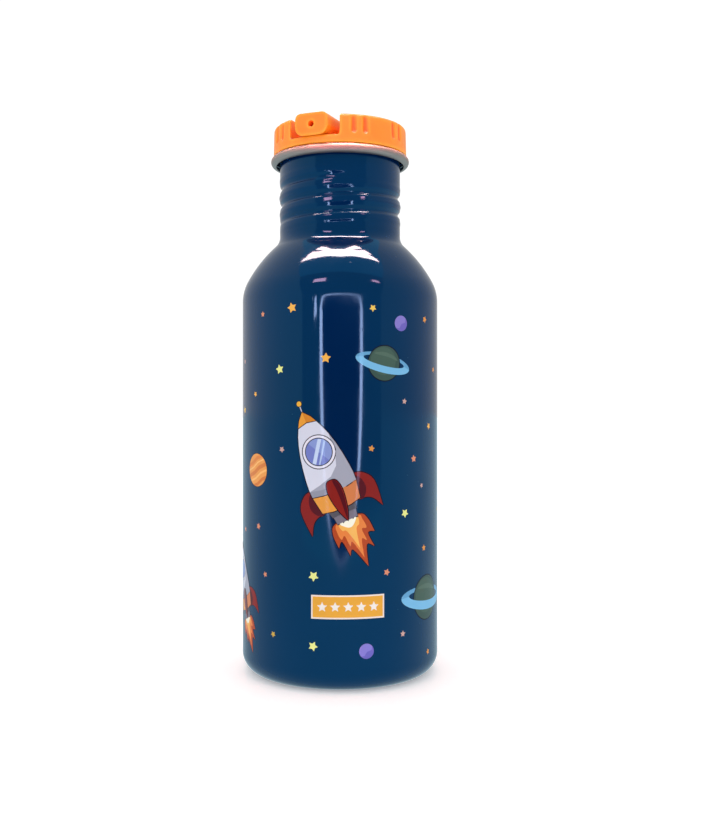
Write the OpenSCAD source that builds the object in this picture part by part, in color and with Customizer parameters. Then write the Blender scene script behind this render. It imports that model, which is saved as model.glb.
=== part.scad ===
// Kids' drinking bottle: a single-wall steel bottle with a rolled rim and a thread formed in its neck,
// closed by a screw cap with a fold-down drinking spout and a straw.
// The bottle stands on z = 0 with its axis on Z. The front of its print faces -Y.

/* [Bottle] */
// Outside diameter of the body
body_d = 70; // [56:0.5:90]
// Height from the foot to the top of the rolled rim
bottle_h = 183.6; // [140:0.2:240]
// Thickness of the steel sheet
wall = 0.5; // [0.4:0.05:0.7]
// Outside diameter of the plain neck
neck_d = 43.3; // [36:0.1:54]
// Height of the neck, from the shoulder to the top of the rim
neck_h = 28.5; // [23:0.1:36]
// Diameter of the rolled rim's section
roll_d = 3.2; // [2.6:0.1:3.8]

/* [Shoulder] */
// Radius of the hollow curve where the neck meets the shoulder
neck_fillet_r = 5.2; // [3:0.1:7]
// Steepest slope of the shoulder, from vertical
shoulder_slope = 47.6; // [42:0.1:55]
// Slope where the long crown curve gives way to the tighter brow curve
shoulder_turn = 28.3; // [20:0.1:34]
// Radius of the brow, where the shoulder turns down into the body
brow_r = 15.2; // [10:0.1:18]

/* [Base] */
// Radius of the bottom corner
corner_r = 7; // [4:0.1:9]
// Width of the flat ring that the bottle stands on
foot_w = 2.5; // [1.5:0.1:4]
// Depth of the dish pressed into the base
dish_h = 2.4; // [1.5:0.1:3]
// Length of straight wall on the base cup above its corner, up to the weld
weld_lap = 1; // [0.5:0.1:3]

/* [Neck thread] */
// Lift of the cap for each turn
thread_pitch = 6; // [5:0.1:7.2]
// Depth of the groove rolled into the neck
thread_depth = 0.85; // [0.6:0.05:1]
// How far the neck bulges out between two turns of the groove
land_bulge = 0.25; // [0:0.05:0.4]
// Distance from the top of the rim down to the end of the groove
thread_lead = 9.9; // [8:0.1:12]
// Plain neck left below the groove
thread_foot = 4.5; // [3.5:0.1:6]
// Angle at which the groove runs out at its top end
thread_end_angle = 290; // [0:5:355]
// Angle over which each end of the groove fades out
thread_fade = 60; // [30:5:90]

/* [Cap] */
// Height of the cap above the rim
cap_h = 10.1; // [9.6:0.1:14]
// Step from the outside of the rim in to the side of the cap
cap_inset = 0.95; // [0.6:0.05:1.4]
// Draft of the cap's side, from its bottom edge to its top
cap_draft = 0.2; // [0:0.05:0.5]
// Radius of the cap's top edge
cap_edge_r = 1.2; // [0.8:0.1:2]
// Wall of the cap's side
cap_wall = 1.9; // [1.5:0.05:2.4]
// Thickness of the cap's deck
deck_t = 1.6; // [1.2:0.1:2.2]
// Width of the finger notch in front of the cap
notch_w = 18.4; // [15.5:0.1:22]
// Width of one grip groove
groove_w = 2.2; // [1.4:0.1:2.6]
// Depth of one grip groove
groove_depth = 0.8; // [0.4:0.05:1]
// Angle between neighbouring pairs of grip grooves
groove_pair_step = 40; // [36:1:45]
// Angle between the two grooves of a pair
groove_pair_gap = 10; // [8:0.5:12]
// Direction that the spout lies in, turned from the front of the bottle
spout_azimuth = -23.5; // [-180:0.5:180]

/* [Screw plug] */
// Thickness of the plug's disc, which is the floor of the spout's trough
disc_t = 1.2; // [1:0.1:1.6]
// Wall of the plug's threaded tube
plug_wall = 1.8; // [1.4:0.1:2.2]
// Thickness of the gasket under the disc
gasket_t = 1.9; // [1.4:0.1:2.4]

/* [Spout] */
// Width of the spout
spout_w = 12; // [10:0.1:14.4]
// Height of the spout's section
spout_h = 7.2; // [6:0.1:7.4]
// Diameter of the drinking channel
channel_d = 3; // [2:0.1:3.6]
// Diameter of the hole that the channel narrows to at the spout's tip
tip_hole_d = 1.5; // [1:0.1:2]
// Height of the tip's hole above the channel's own centre
tip_hole_rise = 0.4; // [0:0.05:0.5]
// Radius of the spout's hub
hub_r = 4.2; // [4:0.05:4.4]
// Diameter of the two stub axles on the hub
axle_d = 4; // [3:0.1:4.8]
// Length of each stub axle
axle_l = 2.2; // [1.6:0.1:2.8]
// How far the spout's tip stands out from the cap's side
tip_reach = 1; // [0.8:0.1:2.5]

/* [Straw] */
// Outside diameter of the straw
straw_d = 6; // [5:0.1:7.2]
// Wall of the straw
straw_wall = 0.6; // [0.4:0.05:0.8]
// Space left between the straw's cut end and the base
straw_foot = 4; // [3:0.5:12]
// Angle of the cut at the straw's lower end
straw_cut = 45; // [20:1:60]

/* [Clearances] */
// Gap between the rim and the gasket, and between the rim and the cap
seal_gap = 0.08; // [0.05:0.01:0.15]
// Radial gap between a moulded part and the part that fits in it
fit_gap = 0.1; // [0.06:0.01:0.2]
// Radial gap round the stub axles
axle_gap = 0.08; // [0.05:0.01:0.1]
// Gap round the folded spout
spout_gap = 0.25; // [0.2:0.05:0.5]
// Radial gap between the two threads
thread_gap = 0.3; // [0.2:0.05:0.5]

/* [Hidden] */
$fn = 96;
arc_steps = 10;
over = 1;
embed = 0.4;

// Bottle
body_r = body_d / 2;
neck_r = neck_d / 2;
bore_r = neck_r - wall;
roll_r = roll_d / 2;
rim_r = neck_r + roll_d;
roll_z = bottle_h - roll_r;
roll_end_angle = -100;
neck_z = bottle_h - neck_h;
weld_z = corner_r + weld_lap;
crown_span = body_r - neck_r - neck_fillet_r * (1 - cos(shoulder_slope)) - brow_r * (1 - cos(shoulder_turn));
crown_r = crown_span / (cos(shoulder_turn) - cos(shoulder_slope));
fillet_end = [neck_r + neck_fillet_r, neck_z] - neck_fillet_r * ray(shoulder_slope);
crown_centre = fillet_end - crown_r * ray(shoulder_slope);
brow_centre = crown_centre + (crown_r - brow_r) * ray(shoulder_turn);

// Base
foot_r = body_r - corner_r;
foot_in_r = foot_r - foot_w;
dish_turn = 60;
dish_r = dish_h / (2 * (1 - cos(dish_turn)));
dish_flat_r = foot_in_r - 2 * dish_r * sin(dish_turn);

// Neck thread
groove_top_z = bottle_h - thread_lead;
groove_low_z = neck_z + thread_foot;
groove_turns = (groove_top_z - groove_low_z) / thread_pitch;
groove_low_angle = thread_end_angle - 360 * groove_turns;
groove_half = 0.28 * thread_pitch;
land_half = 0.22 * thread_pitch;
band_margin = thread_pitch / 2 + land_half - thread_pitch * thread_fade / 360 + 0.2;
band_low_z = groove_low_z - band_margin;
band_top_z = groove_top_z + band_margin;
band_angles = 60;
band_rows = 34;
end_skin = 0.2;
rib_r = bore_r - thread_depth;

// Screw plug
crest_r = bore_r - thread_gap;
plug_r = rib_r - 2 * thread_gap;
plug_bore_r = plug_r - plug_wall;
plug_foot = 3;
plug_low_z = groove_low_z + plug_foot;
ridge_drop = 0.37 * thread_pitch;
ridge_crest_half = 0.1 * thread_pitch;
ridge_root_half = 0.2 * thread_pitch;
ridge_low_z = plug_low_z + ridge_root_half + 0.3;
ridge_top_z = groove_top_z - 0.47 * thread_pitch;
ridge_low_angle = helix_angle(ridge_low_z + ridge_drop);
ridge_top_angle = helix_angle(ridge_top_z + ridge_drop);
ridge_fade = 25;
ridge_embed = 0.3;
ridge_steps = ceil((ridge_top_angle - ridge_low_angle) / 6);

// Gasket and the plug's disc
cap_r = rim_r - cap_inset;
skirt_r = cap_r - cap_wall;
gasket_r = skirt_r - fit_gap;
gasket_low_z = lip_z(gasket_r) + seal_gap;
disc_low_z = gasket_low_z + gasket_t + seal_gap / 2;
disc_top_z = disc_low_z + disc_t;
disc_r = skirt_r - fit_gap;
bead_h = 0.4;
bead_reach = 0.2;
bead_z = disc_low_z + 0.4;

// Cap
cap_low_z = bottle_h + 2 * seal_gap;
cap_top_z = bottle_h + cap_h;
notch_z = disc_top_z;
groove_cut_r = (pow(groove_w / 2, 2) + pow(groove_depth, 2)) / (2 * groove_depth);
groove_low_end_z = notch_z + 0.4;
groove_pairs = 8;
trough_wall = 1.6;

// Spout and its hinge
spout_low_z = disc_top_z + spout_gap;
hub_z = spout_low_z + spout_h - hub_r;
tip_wall = 2;
tip_y = -(cap_r + tip_reach);
lip_drop = 0.5;
lip_y = -(cap_r + spout_gap);
spout_corner_low = 3;
spout_corner_top = 2;
seal_r = 5;
boss_r = seal_r + 2.2;
hub_y = plug_bore_r - boss_r - 1;
trough_half = spout_w / 2 + spout_gap;
trough_rear_y = hub_y + hub_r + spout_gap;
trough_step_y = hub_y - hub_r - 4.6;
cheek_half = trough_half + axle_l + 0.3;
axle_snap_w = axle_d - 0.5;

// Seal, connector and straw
boss_floor_t = 1.5;
seal_low_z = disc_low_z - 1.9;
boss_low_z = seal_low_z - boss_floor_t;
port_r = channel_d / 2 + 0.2;
connector_r = straw_d / 2 + 0.95;
socket_wall = 1.4;
socket_l = 5.5;
socket_low_z = boss_low_z - socket_l;
flange_t = 1.2;
flange_r = connector_r + socket_wall;
flange_low_z = socket_low_z - flange_t;
skirt_l = 8.7;
straw_seat_z = flange_low_z - 0.3;
straw_top_z = straw_seat_z - fit_gap;
straw_low_z = dish_h + wall + straw_foot;

// Vent valve
pad_r = 5.2;
pad_t = 1.3;
vent_y = -(plug_bore_r - pad_r - 1);
vent_seat_z = disc_low_z - pad_t;
vent_web_t = 1;
vent_pocket_r = 3.2;
vent_hole_r = 0.6;
vent_hole_ring = 2.2;
stem_r = 1.15;
umbrella_r = 4.2;
umbrella_t = 0.7;

function ray(a) = [cos(a), sin(a)];
function arc(c, r, a0, a1, n = arc_steps) = [for (i = [0:n]) c + r * ray(a0 + (a1 - a0) * i / n)];
function flip(v) = [for (i = [len(v) - 1:-1:0]) v[i]];
function total(v, i = 0) = i < len(v) ? v[i] + total(v, i + 1) : 0;
function ease(x) = x <= 0 ? 0 : x >= 1 ? 1 : x * x * (3 - 2 * x);
function bell(u) = abs(u) >= 1 ? 0 : (1 + cos(180 * u)) / 2;

// Height of the wet side of the rolled rim at radius r, on its inner curve
function lip_z(r) = roll_z + sqrt(max(0, pow(roll_r, 2) - pow(max(0, bore_r + roll_r - r), 2)));

// The groove climbs with the angle, so it is a right-hand thread
function helix_z(a) = groove_top_z + thread_pitch * (a - thread_end_angle) / 360;
function helix_angle(z) = thread_end_angle + 360 * (z - groove_top_z) / thread_pitch;
function groove_strength(a) =
    ease((a - groove_low_angle) / thread_fade) * ease((thread_end_angle - a) / thread_fade);

// Outside radius of the formed neck at an angle and a height
function neck_wave(a, z) = total([
    for (k = [-4:1])
        let (turn = a + 360 * k, rise = z - helix_z(turn), near = groove_strength(turn))
        near * (land_bulge / 2 * (bell((rise - thread_pitch / 2) / land_half)
                                  + bell((rise + thread_pitch / 2) / land_half))
                - thread_depth * bell(rise / groove_half))
]);
function band_shape(a, z) = neck_r + neck_wave(a, z);

// A closed tube with one row of corners at each height, between two radii that vary
module waved_tube(heights, skins) {
    rows = len(heights);
    per_row = band_angles;
    step = 360 / per_row;
    outer = [
        for (j = [0:rows - 1], i = [0:per_row - 1])
            let (r = band_shape(i * step, heights[j]) - skins[j])
            [r * cos(i * step), r * sin(i * step), heights[j]]
    ];
    inner = [
        for (j = [0:rows - 1], i = [0:per_row - 1])
            let (r = band_shape(i * step, heights[j]) - wall + skins[j])
            [r * cos(i * step), r * sin(i * step), heights[j]]
    ];
    first_inner = rows * per_row;
    last_row = (rows - 1) * per_row;
    faces = [
        for (i = [0:per_row - 1])
            let (k = (i + 1) % per_row)
            each concat(
                [for (j = [0:rows - 2]) let (b = j * per_row) each [
                    [b + i, b + k + per_row, b + k],
                    [b + i, b + i + per_row, b + k + per_row],
                    [first_inner + b + i, first_inner + b + k, first_inner + b + k + per_row],
                    [first_inner + b + i, first_inner + b + k + per_row, first_inner + b + i + per_row],
                ]],
                [
                    [i, k, first_inner + k],
                    [i, first_inner + k, first_inner + i],
                    [last_row + i, first_inner + last_row + k, last_row + k],
                    [last_row + i, first_inner + last_row + i, first_inner + last_row + k],
                ]
            )
    ];
    polyhedron(points = concat(outer, inner), faces = faces);
}

// One sheet of steel from the weld up over the shoulder to just inside the formed band
module body_sheet() {
    outside = concat(
        [[body_r, weld_z]],
        arc(brow_centre, brow_r, 0, shoulder_turn),
        arc(crown_centre, crown_r, shoulder_turn, shoulder_slope),
        arc([neck_r + neck_fillet_r, neck_z], -neck_fillet_r, shoulder_slope, 0),
        [[neck_r, band_low_z]]
    );
    inside = concat(
        [[body_r - wall, weld_z]],
        arc(brow_centre, brow_r - wall, 0, shoulder_turn),
        arc(crown_centre, crown_r - wall, shoulder_turn, shoulder_slope),
        arc([neck_r + neck_fillet_r, neck_z], -neck_fillet_r - wall, shoulder_slope, 0),
        [[bore_r, band_low_z]]
    );
    rotate_extrude() polygon(concat(outside, flip(inside)));
}

// The plain top of the neck and the rim rolled outwards from it
module rim_sheet() {
    lip_centre = [bore_r + roll_r, roll_z];
    roll_centre = [rim_r - roll_r, roll_z];
    wet_side = concat(
        [[bore_r, band_top_z]],
        arc(lip_centre, roll_r, 180, 90),
        arc(roll_centre, roll_r, 90, roll_end_angle, 2 * arc_steps)
    );
    dry_side = concat(
        [[neck_r, band_top_z]],
        arc(lip_centre, roll_r - wall, 180, 90),
        arc(roll_centre, roll_r - wall, 90, roll_end_angle, 2 * arc_steps)
    );
    rotate_extrude() polygon(concat(wet_side, flip(dry_side)));
}

module bottle_shell() {
    band_h = band_top_z - band_low_z;
    rows = [for (j = [0:band_rows]) band_low_z + embed / 2 + (band_h - embed) * j / band_rows];
    heights = concat([band_low_z - embed], rows, [band_top_z + embed]);
    skins = concat([end_skin], [for (z = rows) 0], [end_skin]);
    color("midnightblue")
        union() {
            body_sheet();
            waved_tube(heights, skins);
            rim_sheet();
        }
}

// The pressed base, butt-welded to the body: its corner, the foot ring and the dish
module base_cup() {
    corner = [foot_r, corner_r];
    first = [foot_in_r, dish_r];
    second = [dish_flat_r, dish_h - dish_r];
    outside = concat(
        [[body_r, weld_z]],
        arc(corner, corner_r, 0, -90),
        arc(first, dish_r, -90, -90 - dish_turn),
        arc(second, dish_r, 90 - dish_turn, 90),
        [[0, dish_h]]
    );
    inside = concat(
        [[body_r - wall, weld_z]],
        arc(corner, corner_r - wall, 0, -90),
        arc(first, dish_r - wall, -90, -90 - dish_turn),
        arc(second, dish_r + wall, 90 - dish_turn, 90),
        [[0, dish_h + wall]]
    );
    color("midnightblue")
        rotate_extrude() polygon(concat(outside, flip(inside)));
}

module rim_gasket() {
    color("whitesmoke")
        translate([0, 0, gasket_low_z])
            difference() {
                cylinder(r = gasket_r, h = gasket_t);
                translate([0, 0, -over]) cylinder(r = plug_r + fit_gap, h = gasket_t + 2 * over);
            }
}

// What belongs to the cap is drawn with the spout to the front, then turned with the cap
module with_cap() {
    rotate([0, 0, spout_azimuth]) children();
}

module on_hub_axis(r, l) {
    translate([0, hub_y, hub_z]) rotate([0, 90, 0]) cylinder(r = r, h = l, center = true);
}

// The moulded cup of the cap: its drafted side, rounded top edge and flat deck
module cap_cup() {
    top_r = cap_r - cap_draft;
    rotate_extrude()
        polygon(concat(
            [[skirt_r, cap_low_z], [cap_r, cap_low_z]],
            arc([top_r - cap_edge_r, cap_top_z - cap_edge_r], cap_edge_r, 0, 90),
            [[0, cap_top_z], [0, cap_top_z - deck_t], [skirt_r, cap_top_z - deck_t]]
        ));
}

// The walls of the spout's trough hang from the deck down to the plug's disc
module trough_block() {
    low_z = disc_top_z + seal_gap;
    h = cap_top_z - deck_t / 2 - low_z;
    front_half = notch_w / 2 + trough_wall;
    translate([0, 0, low_z]) {
        intersection() {
            translate([-front_half, tip_y, 0]) cube([2 * front_half, trough_step_y + trough_wall - tip_y, h]);
            cylinder(r = skirt_r + cap_wall / 2, h = h);
        }
        translate([-cheek_half, trough_step_y, 0])
            cube([2 * cheek_half, trough_rear_y + trough_wall - trough_step_y, h]);
    }
}

module trough_space() {
    translate([-notch_w / 2, tip_y - over, notch_z])
        cube([notch_w, trough_step_y - tip_y + over, cap_h + over]);
    translate([-trough_half, trough_step_y - over, notch_z])
        cube([2 * trough_half, trough_rear_y - trough_step_y + over, cap_h + over]);
}

// A grip groove: an upright round cutter with a round lower end
module grip_cutter() {
    tip = [for (i = [0:5]) groove_cut_r * [cos(-90 + 18 * i), 1 + sin(-90 + 18 * i)]];
    rotate_extrude($fn = 32)
        polygon(concat(tip, [[groove_cut_r, cap_h + over], [0, cap_h + over]]));
}

module grip_grooves() {
    for (i = [1:groove_pairs], side = [-0.5, 0.5])
        rotate([0, 0, i * groove_pair_step + side * groove_pair_gap])
            translate([0, -(cap_r + groove_cut_r - groove_depth - cap_draft / 2), groove_low_end_z])
                grip_cutter();
}

// The stub axles snap up into round bearings through a narrower slot
module axle_bearings() {
    on_hub_axis(axle_d / 2 + axle_gap, 2 * (trough_half + axle_l + 0.1));
    translate([-(trough_half + axle_l + 0.1), hub_y - axle_snap_w / 2, notch_z - over])
        cube([2 * (trough_half + axle_l + 0.1), axle_snap_w, hub_z - notch_z + over]);
}

module cap_shell() {
    color("darkorange")
        with_cap()
            difference() {
                union() {
                    cap_cup();
                    trough_block();
                }
                trough_space();
                axle_bearings();
                grip_grooves();
                translate([0, 0, bead_z - fit_gap])
                    cylinder(r = disc_r + bead_reach + fit_gap, h = bead_h + 2 * fit_gap);
            }
}

// The plug's own thread is swept along the groove's helix and fades into the tube at both ends
module plug_ridge() {
    sides = 4;
    rings = [
        for (i = [0:ridge_steps])
            let (
                a = ridge_low_angle + (ridge_top_angle - ridge_low_angle) * i / ridge_steps,
                z = helix_z(a) - ridge_drop,
                near = ease((a - ridge_low_angle) / ridge_fade) * ease((ridge_top_angle - a) / ridge_fade),
                r = plug_r - ridge_embed / 2 + (crest_r - plug_r + ridge_embed / 2) * near
            )
            [
                [plug_r - ridge_embed, z - ridge_root_half], [r, z - ridge_crest_half],
                [r, z + ridge_crest_half], [plug_r - ridge_embed, z + ridge_root_half]
            ]
    ];
    points = [
        for (i = [0:ridge_steps], p = rings[i])
            let (a = ridge_low_angle + (ridge_top_angle - ridge_low_angle) * i / ridge_steps)
            [p.x * cos(a), p.x * sin(a), p.y]
    ];
    last = ridge_steps * sides;
    faces = concat(
        [[0, 2, 1], [0, 3, 2], [last, last + 1, last + 2], [last, last + 2, last + 3]],
        [for (i = [0:ridge_steps - 1], s = [0:sides - 1])
            let (b = i * sides, t = (s + 1) % sides)
            each [[b + s, b + t + sides, b + s + sides], [b + s, b + t, b + t + sides]]]
    );
    polyhedron(points = points, faces = faces);
}

module plug_body() {
    translate([0, 0, disc_low_z]) cylinder(r = disc_r, h = disc_t);
    translate([0, 0, bead_z]) cylinder(r = disc_r + bead_reach, h = bead_h);
    translate([0, 0, plug_low_z]) cylinder(r = plug_r, h = disc_low_z - plug_low_z + disc_t / 2);
}

module plug_hollow() {
    translate([0, 0, plug_low_z - over]) cylinder(r = plug_bore_r, h = disc_low_z - plug_low_z + over);
}

module plug_bosses() {
    translate([0, hub_y, boss_low_z]) cylinder(r = boss_r, h = disc_low_z + disc_t / 2 - boss_low_z);
    translate([0, hub_y, socket_low_z]) cylinder(r = connector_r + socket_wall, h = socket_l + over);
    translate([0, vent_y, vent_seat_z]) cylinder(r = pad_r, h = pad_t + disc_t / 2);
}

module plug_holes() {
    on_hub_axis(hub_r + spout_gap, 2 * trough_half);
    translate([0, hub_y, seal_low_z]) cylinder(r = seal_r + fit_gap, h = disc_top_z);
    translate([0, hub_y, boss_low_z - over]) cylinder(r = port_r, h = boss_floor_t + 2 * over);
    translate([0, hub_y, socket_low_z - over]) cylinder(r = connector_r, h = socket_l + over);
    translate([0, vent_y, 0]) {
        translate([0, 0, vent_seat_z + vent_web_t]) cylinder(r = vent_pocket_r, h = disc_top_z);
        translate([0, 0, vent_seat_z - over]) cylinder(r = stem_r + axle_gap, h = 2 * over + vent_web_t);
        for (a = [0:120:240])
            rotate([0, 0, a])
                translate([vent_hole_ring, 0, vent_seat_z - over])
                    cylinder(r = vent_hole_r, h = 2 * over + vent_web_t, $fn = 24);
    }
}

module screw_plug() {
    color("orange") {
        difference() {
            union() {
                difference() {
                    plug_body();
                    plug_hollow();
                }
                with_cap() plug_bosses();
                plug_ridge();
            }
            with_cap() plug_holes();
        }
    }
}

module spout_seal() {
    color("whitesmoke")
        with_cap()
            difference() {
                translate([0, hub_y, seal_low_z]) cylinder(r = seal_r, h = disc_top_z - seal_low_z - fit_gap);
                on_hub_axis(hub_r + seal_gap, 2 * trough_half);
                translate([0, hub_y, seal_low_z - over]) cylinder(r = channel_d / 2 + fit_gap, h = hub_z);
            }
}

module vent_valve() {
    low = vent_seat_z - umbrella_t;
    web_top = vent_seat_z + vent_web_t;
    color("whitesmoke")
        with_cap()
            translate([0, vent_y, 0])
                rotate_extrude()
                    polygon([
                        [0, low], [1.6, low], [umbrella_r, vent_seat_z - 0.35], [umbrella_r, vent_seat_z],
                        [stem_r, vent_seat_z], [stem_r, web_top + 0.05], [1.75, web_top + 0.05],
                        [1.75, web_top + 0.4], [0.9, web_top + 1.1], [0, web_top + 1.1]
                    ]);
}

module straw_connector() {
    bore = channel_d / 2 + 0.4;
    color("ivory")
        with_cap()
            translate([0, hub_y, 0])
                rotate_extrude()
                    polygon([
                        [bore, boss_low_z - fit_gap], [connector_r - fit_gap / 2, boss_low_z - fit_gap],
                        [connector_r - fit_gap / 2, socket_low_z], [flange_r, socket_low_z],
                        [flange_r, flange_low_z], [connector_r + 0.55, flange_low_z],
                        [connector_r + 0.35, flange_low_z - skirt_l],
                        [straw_d / 2 + fit_gap / 4, flange_low_z - skirt_l],
                        [straw_d / 2 + fit_gap / 4, straw_seat_z], [bore, straw_seat_z]
                    ]);
}

module straw() {
    cut = 3 * straw_d;
    color("lightcyan")
        with_cap()
            translate([0, hub_y, straw_low_z])
                difference() {
                    cylinder(r = straw_d / 2, h = straw_top_z - straw_low_z);
                    translate([0, 0, -over])
                        cylinder(r = straw_d / 2 - straw_wall, h = straw_top_z - straw_low_z + 2 * over);
                    translate([-straw_d / 2, 0, 0])
                        rotate([0, -straw_cut, 0])
                            translate([0, -cut / 2, -cut]) cube([cut, cut, cut]);
                }
}

// The spout's section, seen along its length, with rounder corners below
function spout_section(low) = concat(
    arc([-spout_w / 2 + spout_corner_low, low + spout_corner_low], spout_corner_low, 180, 270, 8),
    arc([spout_w / 2 - spout_corner_low, low + spout_corner_low], spout_corner_low, 270, 360, 8),
    arc([spout_w / 2 - spout_corner_top, spout_low_z + spout_h - spout_corner_top], spout_corner_top, 0, 90, 6),
    arc([-spout_w / 2 + spout_corner_top, spout_low_z + spout_h - spout_corner_top], spout_corner_top, 90, 180, 6)
);

module spout_bar(low, y0, y1) {
    translate([0, y1, 0]) rotate([90, 0, 0]) linear_extrude(y1 - y0) polygon(spout_section(low));
}

module spout() {
    core_w = spout_w - 4.4;
    core_depth = 1.1;
    color("darkorange")
        with_cap()
            difference() {
                union() {
                    spout_bar(spout_low_z, tip_y, hub_y);
                    spout_bar(spout_low_z - lip_drop, tip_y, lip_y);
                    on_hub_axis(hub_r, spout_w);
                    on_hub_axis(axle_d / 2, spout_w + 2 * axle_l);
                }
                translate([0, hub_y + hub_r + over, hub_z])
                    rotate([90, 0, 0])
                        cylinder(r = channel_d / 2, h = hub_y + hub_r + over - tip_y - tip_wall);
                translate([0, tip_y + 2 * tip_wall, hub_z + tip_hole_rise])
                    rotate([90, 0, 0])
                        cylinder(r = tip_hole_d / 2, h = 3 * tip_wall);
                translate([-core_w / 2, lip_y + 3.5, spout_low_z - over])
                    cube([core_w, hub_y - hub_r - lip_y - 6.5, core_depth + over]);
            }
}

bottle_shell();
base_cup();
rim_gasket();
cap_shell();
screw_plug();
spout_seal();
vent_valve();
straw_connector();
straw();
spout();
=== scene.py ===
import math

import bpy
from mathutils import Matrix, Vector


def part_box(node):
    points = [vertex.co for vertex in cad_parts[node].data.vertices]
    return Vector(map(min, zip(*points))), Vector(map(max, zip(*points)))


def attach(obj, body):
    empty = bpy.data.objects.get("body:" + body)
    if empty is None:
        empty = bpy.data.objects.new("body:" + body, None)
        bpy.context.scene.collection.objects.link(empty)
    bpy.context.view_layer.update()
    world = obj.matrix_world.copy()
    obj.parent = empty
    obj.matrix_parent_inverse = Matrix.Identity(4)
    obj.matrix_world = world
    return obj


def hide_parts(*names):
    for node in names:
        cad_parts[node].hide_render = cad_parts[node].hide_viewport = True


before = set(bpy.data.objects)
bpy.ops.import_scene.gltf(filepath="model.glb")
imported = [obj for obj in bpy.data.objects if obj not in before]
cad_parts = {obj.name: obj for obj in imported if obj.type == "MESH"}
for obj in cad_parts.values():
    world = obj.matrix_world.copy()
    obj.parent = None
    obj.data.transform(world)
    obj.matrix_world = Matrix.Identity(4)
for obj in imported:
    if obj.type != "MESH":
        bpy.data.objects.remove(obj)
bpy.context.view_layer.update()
bpy.ops.object.select_all(action="DESELECT")
mm = 0.001


# ---- Camera ----
# A level camera in front of the bottle, at half its height, so its upright edges look parallel.
# The lens is shifted a little, to place the bottle in the frame.

eye_height = 95.7 * mm
eye_distance = 367.3 * mm
bpy.ops.object.camera_add(location=(0, -eye_distance, eye_height), rotation=(math.radians(90), 0, 0))
camera = bpy.context.object
camera.data.lens = 43.96
camera.data.sensor_width = 36
camera.data.shift_x = 0.018
camera.data.shift_y = -0.0165
camera.data.clip_start = 0.01
bpy.context.scene.camera = camera


# ---- Bottle shell ----
# One sheet of stainless steel, drawn and swaged: straight body, shoulder, a neck with the thread
# rolled into it, and a rim rolled outwards. Sprayed navy outside and lacquered; the rim and the
# inside stay bare steel, but the inside of the rim's curl gets the navy as painted shade.

shell_low, shell_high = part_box("bottle_shell")
body_r = shell_high[0] / mm
weld_z = shell_low[2] / mm
rim_top = shell_high[2] / mm
wall = 0.5
neck_r = 21.65
neck_foot = rim_top - 28.5
roll_r = 1.6
roll_z = rim_top - roll_r
roll_end = -100
neck_fillet_r = 5.2
brow_r = 15.2
shoulder_slope = 47.6
shoulder_turn = 28.3
thread_pitch = 6.0
thread_top = rim_top - 9.9
thread_low = neck_foot + 4.5
thread_depth = 0.85
thread_share = 0.28
land_bulge = 0.25
land_share = 0.22
thread_end = 290
thread_fade = 60
paint_edge = roll_z + 0.4
sides = 256


def arc(centre, r, start, end, steps):
    """Points on an arc, as (radius from the axis, height) in mm; angles in degrees."""
    turns = [math.radians(start + (end - start) * i / steps) for i in range(steps + 1)]
    return [(centre[0] + r * math.cos(a), centre[1] + r * math.sin(a)) for a in turns]


def lathe(name, outline, steps=sides):
    """Spins a closed outline of (radius, height) points, in mm, once round the Z axis."""
    bpy.ops.mesh.primitive_circle_add(vertices=len(outline), radius=1, fill_type="NOTHING")
    piece = bpy.context.object
    piece.name = name
    for corner, (r, z) in zip(piece.data.vertices, outline):
        corner.co = (r * mm, 0, z * mm)
    bpy.ops.object.mode_set(mode="EDIT")
    bpy.ops.mesh.select_all(action="SELECT")
    bpy.ops.mesh.spin(steps=steps, angle=2 * math.pi, center=(0, 0, 0), axis=(0, 0, 1))
    bpy.ops.mesh.select_all(action="SELECT")
    bpy.ops.mesh.remove_doubles(threshold=0.005 * mm)
    bpy.ops.mesh.normals_make_consistent(inside=False)
    bpy.ops.object.mode_set(mode="OBJECT")
    bpy.ops.object.shade_smooth_by_angle(angle=math.radians(40))
    return piece


def shell_side(inset):
    """One side of the steel sheet, from the weld up over the shoulder to the top of the neck."""
    crown_span = (body_r - neck_r - neck_fillet_r * (1 - math.cos(math.radians(shoulder_slope)))
                  - brow_r * (1 - math.cos(math.radians(shoulder_turn))))
    slope = (math.cos(math.radians(shoulder_slope)), math.sin(math.radians(shoulder_slope)))
    turn = (math.cos(math.radians(shoulder_turn)), math.sin(math.radians(shoulder_turn)))
    crown_r = crown_span / (turn[0] - slope[0])
    fillet_centre = (neck_r + neck_fillet_r, neck_foot)
    reach = neck_fillet_r + crown_r
    crown_centre = (fillet_centre[0] - reach * slope[0], fillet_centre[1] - reach * slope[1])
    brow_centre = (crown_centre[0] + (crown_r - brow_r) * turn[0],
                   crown_centre[1] + (crown_r - brow_r) * turn[1])
    neck_rows = 66
    neck_top = roll_z - 1
    neck_step = (neck_top - neck_foot) / neck_rows
    neck = [(neck_r - inset, neck_foot + neck_step * i) for i in range(1, neck_rows)]
    return ([(body_r - inset, weld_z), (body_r - inset, weld_z + 1),
             (body_r - inset, brow_centre[1] - 1)]
            + arc(brow_centre, brow_r - inset, 0, shoulder_turn, 12)
            + arc(crown_centre, crown_r - inset, shoulder_turn, shoulder_slope, 12)[1:]
            + arc(fillet_centre, neck_fillet_r + inset, 180 + shoulder_slope, 180, 12)[1:]
            + neck)


def ease(x):
    """A smooth step from 0 to 1."""
    x = min(1, max(0, x))
    return x * x * (3 - 2 * x)


def bell(u):
    """A smooth bump, 1 in the middle and 0 from -1 and 1 outwards."""
    return 0 if abs(u) >= 1 else (1 + math.cos(math.pi * u)) / 2


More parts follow.
